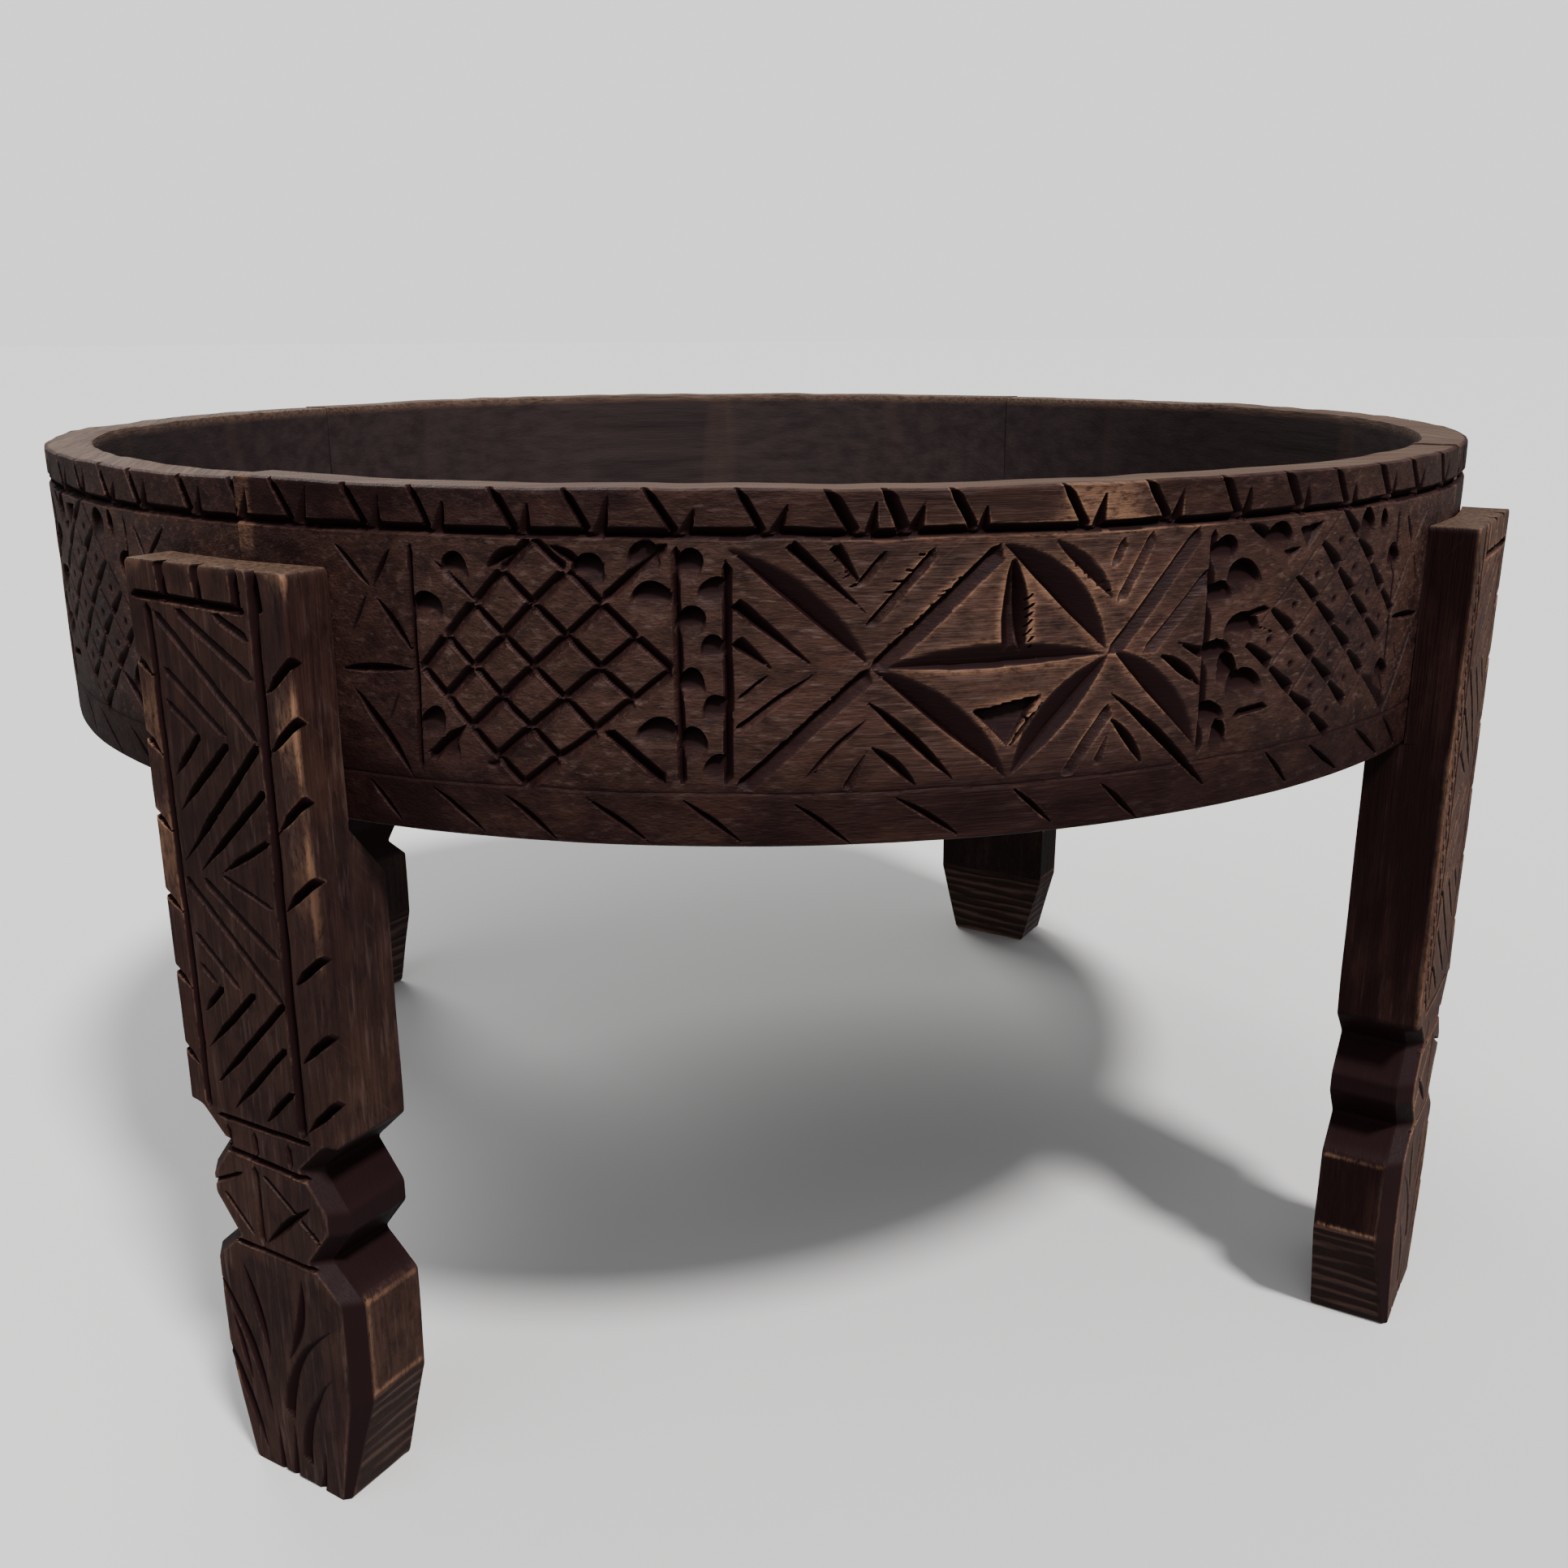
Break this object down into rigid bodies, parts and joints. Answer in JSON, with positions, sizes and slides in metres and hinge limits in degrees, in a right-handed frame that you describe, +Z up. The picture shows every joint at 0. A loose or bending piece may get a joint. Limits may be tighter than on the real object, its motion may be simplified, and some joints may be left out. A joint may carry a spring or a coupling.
{
  "type": "carved round tray table",
  "caption": "Low round wooden tray table: a segmented ring with chip-carved outer faces, a plank floor and sawn, carved plank legs lapped on the outside of the ring.",
  "frame": {"origin": "on the ground, on the ring's axis", "axes": "+Z up along the ring's axis; the legs stand on the diagonals, and -Y is the front"},
  "size_m": [0.7, 0.7, 0.412],
  "materials": {
    "carved_wood": "dark brown stain, rubbed back to golden brown on the edges, low satin",
    "board_wood": "dark brown stain, dull",
    "dowel_wood": "bare",
    "screw_steel": "blackened",
    "nail_iron": "dull, browned"
  },
  "bodies": {
    "root": {"rim_segment_front": "carved_wood", "rim_segment_right": "carved_wood", "rim_segment_rear": "carved_wood", "rim_segment_left": "carved_wood", "leg_front_left": "carved_wood", "leg_front_right": "carved_wood", "leg_rear_right": "carved_wood", "leg_rear_left": "carved_wood", "floor_board_1": "board_wood", "floor_board_2": "board_wood", "floor_board_3": "board_wood", "floor_board_4": "board_wood", "floor_board_5": "board_wood", "floor_batten_front": "board_wood", "floor_batten_rear": "board_wood", "joint_dowels_front_left": "dowel_wood", "joint_dowels_front_right": "dowel_wood", "joint_dowels_rear_right": "dowel_wood", "joint_dowels_rear_left": "dowel_wood", "leg_screws_front_left": "screw_steel", "leg_screws_front_right": "screw_steel", "leg_screws_rear_right": "screw_steel", "leg_screws_rear_left": "screw_steel", "floor_nails": "nail_iron"}
  },
  "joints": []
}
